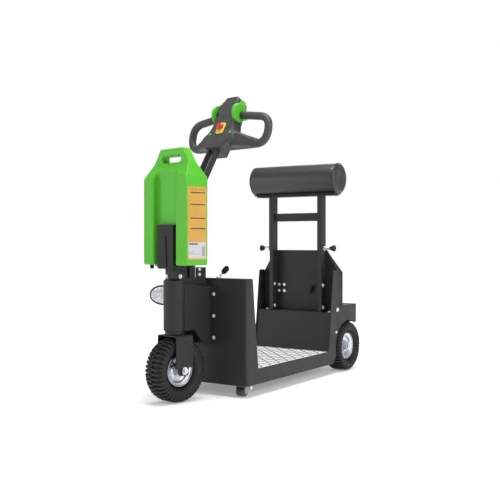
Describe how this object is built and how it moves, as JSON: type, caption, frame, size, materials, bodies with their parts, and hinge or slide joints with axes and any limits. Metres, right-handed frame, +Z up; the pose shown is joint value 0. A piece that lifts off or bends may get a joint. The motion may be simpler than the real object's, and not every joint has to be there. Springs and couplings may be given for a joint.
{
  "type": "stand-on tow tractor",
  "caption": "Compact three-wheeled electric tow tractor with a stand-on deck, tiller steering, a removable battery at the steering head, a padded back-rest and a rear tow jaw.",
  "frame": {"origin": "on the floor under the middle of the outline", "axes": "+Z up, -Y towards the front (the steered wheel), +X to the vehicle's left"},
  "size_m": [0.5381, 1.4141, 1.2831],
  "materials": {
    "charcoal_paint": "satin powder coat",
    "tread_aluminium": "raised-bar tread",
    "cast_drive": "rough, painted black",
    "bright_steel": "machined",
    "zinc": "bright zinc",
    "tyre": "matte",
    "black_plastic": "fine grain",
    "grip_rubber": "soft touch",
    "green_plastic": "fine grain",
    "red_plastic": "gloss",
    "lens": "clear over silver",
    "black_vinyl": "satin vinyl"
  },
  "bodies": {
    "chassis": {"side_plate_left": "charcoal_paint", "side_plate_right": "charcoal_paint", "front_wall": "charcoal_paint", "column_cover": "charcoal_paint", "deck_tray": "charcoal_paint", "tread_plate": "tread_aluminium", "rear_box": "charcoal_paint", "rear_housing": "charcoal_paint", "axle_carrier": "charcoal_paint", "drive_unit": "cast_drive", "rear_axle": "bright_steel", "head_tube": "charcoal_paint", "head_bracket": "charcoal_paint", "headlamp": "black_plastic", "lamp_lens": "lens", "lamp_bracket": "charcoal_paint", "stop_tab": "charcoal_paint", "key_switch": "bright_steel", "roller_bracket_left": "charcoal_paint", "roller_bracket_right": "charcoal_paint", "tow_jaw": "charcoal_paint", "back_plate": "charcoal_paint", "rear_hood": "black_plastic", "guide_rails": "charcoal_paint"},
    "steering": {"fork": "charcoal_paint", "axle_holders": "charcoal_paint", "front_axle": "bright_steel", "steering_stem": "bright_steel", "yoke": "charcoal_paint", "battery_tower": "black_plastic", "battery": "green_plastic", "tiller_arm": "charcoal_paint", "arm_foot": "black_plastic", "hand_loop": "grip_rubber", "control_head": "black_plastic", "thumb_wheels": "green_plastic", "stop_button": "red_plastic"},
    "front_wheel": {"tyre_front": "tyre", "rim_front": "zinc"},
    "rear_wheel_left": {"tyre_rear_left": "tyre", "rim_rear_left": "zinc"},
    "rear_wheel_right": {"tyre_rear_right": "tyre", "rim_rear_right": "zinc"},
    "roller_left": {"roller_left": "black_plastic"},
    "roller_right": {"roller_right": "black_plastic"},
    "backrest": {"pad_frame": "charcoal_paint", "plungers": "black_plastic", "pad": "black_vinyl"}
  },
  "joints": [
    {"name": "steer", "type": "hinge", "parent": "chassis", "child": "steering", "pos_m": [-0.0201, -0.5799, 0.39], "axis": [0, 0, 1], "range_deg": [-65, 84]},
    {"name": "front_wheel_spin", "type": "hinge", "parent": "steering", "child": "front_wheel", "pos_m": [-0.01896, -0.57299, 0.13], "axis": [0.9866, -0.1633, 0], "continuous": true},
    {"name": "rear_left_spin", "type": "hinge", "parent": "chassis", "child": "rear_wheel_left", "pos_m": [0.1619, 0.5501, 0.123], "axis": [1, 0, 0], "continuous": true},
    {"name": "rear_right_spin", "type": "hinge", "parent": "chassis", "child": "rear_wheel_right", "pos_m": [-0.2021, 0.5501, 0.123], "axis": [1, 0, 0], "continuous": true},
    {"name": "roller_left_spin", "type": "hinge", "parent": "chassis", "child": "roller_left", "pos_m": [0.1509, -0.3409, 0.022], "axis": [1, 0, 0], "continuous": true},
    {"name": "roller_right_spin", "type": "hinge", "parent": "chassis", "child": "roller_right", "pos_m": [-0.1911, -0.3409, 0.022], "axis": [1, 0, 0], "continuous": true},
    {"name": "backrest_slide", "type": "slide", "parent": "chassis", "child": "backrest", "axis": [0, 0, 1], "range_m": [-0.09, 0.06]}
  ]
}
